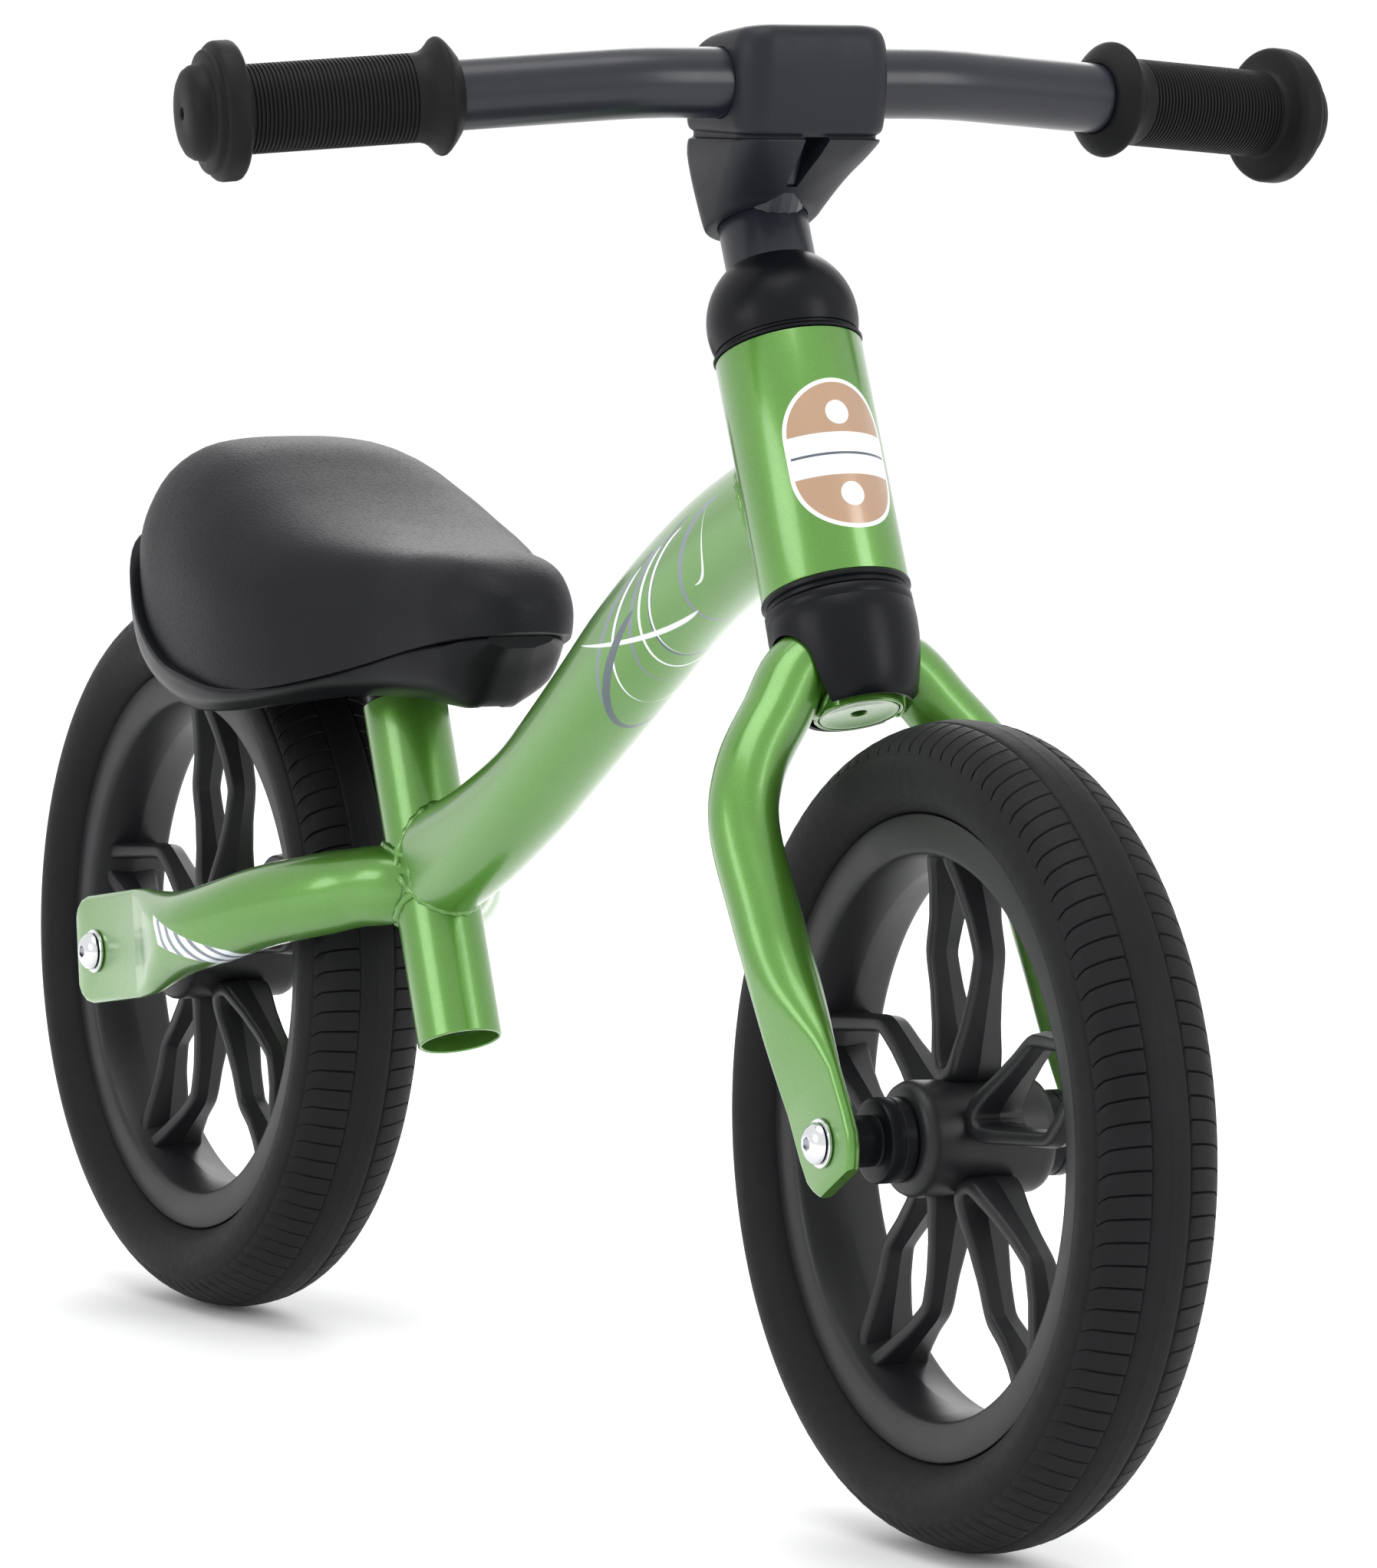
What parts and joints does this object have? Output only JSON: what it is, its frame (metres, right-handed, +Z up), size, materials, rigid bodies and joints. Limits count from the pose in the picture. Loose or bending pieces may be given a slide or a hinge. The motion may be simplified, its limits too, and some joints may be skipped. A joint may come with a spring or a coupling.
{
  "type": "balance bike",
  "caption": "Child's balance bike: curved single-tube frame, steered fork, moulded wheels with foam tyres, swept bar with pad and grips, saddle on a sliding post.",
  "frame": {"origin": "on the ground, half way between the two wheel axles, in the middle plane", "axes": "+X forwards, +Y to the rider's left, +Z up"},
  "size_m": [0.8019, 0.4012, 0.462],
  "materials": {
    "frame_paint": "metallic gloss green",
    "black_paint": "satin black",
    "black_plastic": "satin moulded black",
    "foam_tyre": "matt black",
    "grip_rubber": "matt ribbed black",
    "moulded_foam": "fine grained black skin",
    "plated_steel": "plated"
  },
  "bodies": {
    "frame_body": {"head_tube": "frame_paint", "main_tube": "frame_paint", "seat_tube": "frame_paint", "stay_left": "frame_paint", "stay_right": "frame_paint", "headset_bearing_upper": "plated_steel", "headset_bearing_lower": "plated_steel", "seat_bolt_upper": "plated_steel", "seat_bolt_lower": "plated_steel", "rear_axle": "plated_steel", "rear_spacer_left": "black_plastic", "rear_spacer_right": "black_plastic", "rear_washer_left": "plated_steel", "rear_washer_right": "plated_steel", "rear_bolt_left": "plated_steel", "rear_bolt_right": "plated_steel"},
    "fork_body": {"steerer_tube": "frame_paint", "crown_plug": "frame_paint", "fork_blade_left": "frame_paint", "fork_blade_right": "frame_paint", "headset_ring_upper": "black_plastic", "headset_dome": "black_plastic", "headset_nut": "plated_steel", "headset_ring_lower": "black_plastic", "crown_cover": "black_plastic", "front_axle": "plated_steel", "front_spacer_left": "black_plastic", "front_spacer_right": "black_plastic", "front_washer_left": "plated_steel", "front_washer_right": "plated_steel", "front_bolt_left": "plated_steel", "front_bolt_right": "plated_steel"},
    "bar_body": {"stem_column": "black_paint", "stem_extension": "black_paint", "quill_wedge": "plated_steel", "quill_bolt": "plated_steel", "handlebar": "black_paint", "bar_pad": "moulded_foam", "grip_left": "grip_rubber", "grip_right": "grip_rubber"},
    "seat_body": {"seat_post": "black_paint", "saddle_base": "black_plastic", "saddle_cushion": "moulded_foam", "saddle_bolt": "plated_steel", "saddle_nut": "plated_steel"},
    "front_wheel_body": {"front_wheel": "black_plastic", "front_tyre": "foam_tyre", "front_bearing_left": "plated_steel", "front_bearing_right": "plated_steel"},
    "rear_wheel_body": {"rear_wheel": "black_plastic", "rear_tyre": "foam_tyre", "rear_bearing_left": "plated_steel", "rear_bearing_right": "plated_steel"}
  },
  "joints": [
    {"name": "steering", "type": "hinge", "parent": "frame_body", "child": "fork_body", "pos_m": [0.181, 0, 0.2859], "axis": [-0.4305, 0, 0.9026], "range_deg": [-75, 75]},
    {"name": "front_wheel_spin", "type": "hinge", "parent": "fork_body", "child": "front_wheel_body", "pos_m": [0.27395, 0, 0.12704], "axis": [0, 1, 0], "continuous": true},
    {"name": "rear_wheel_spin", "type": "hinge", "parent": "frame_body", "child": "rear_wheel_body", "pos_m": [-0.274, 0, 0.127], "axis": [0, 1, 0], "continuous": true},
    {"name": "bar_height", "type": "slide", "parent": "fork_body", "child": "bar_body", "axis": [-0.4305, 0, 0.9026], "range_m": [0, 0.05]},
    {"name": "seat_height", "type": "slide", "parent": "frame_body", "child": "seat_body", "axis": [-0.396, 0, 0.9182], "range_m": [0, 0.07]}
  ]
}
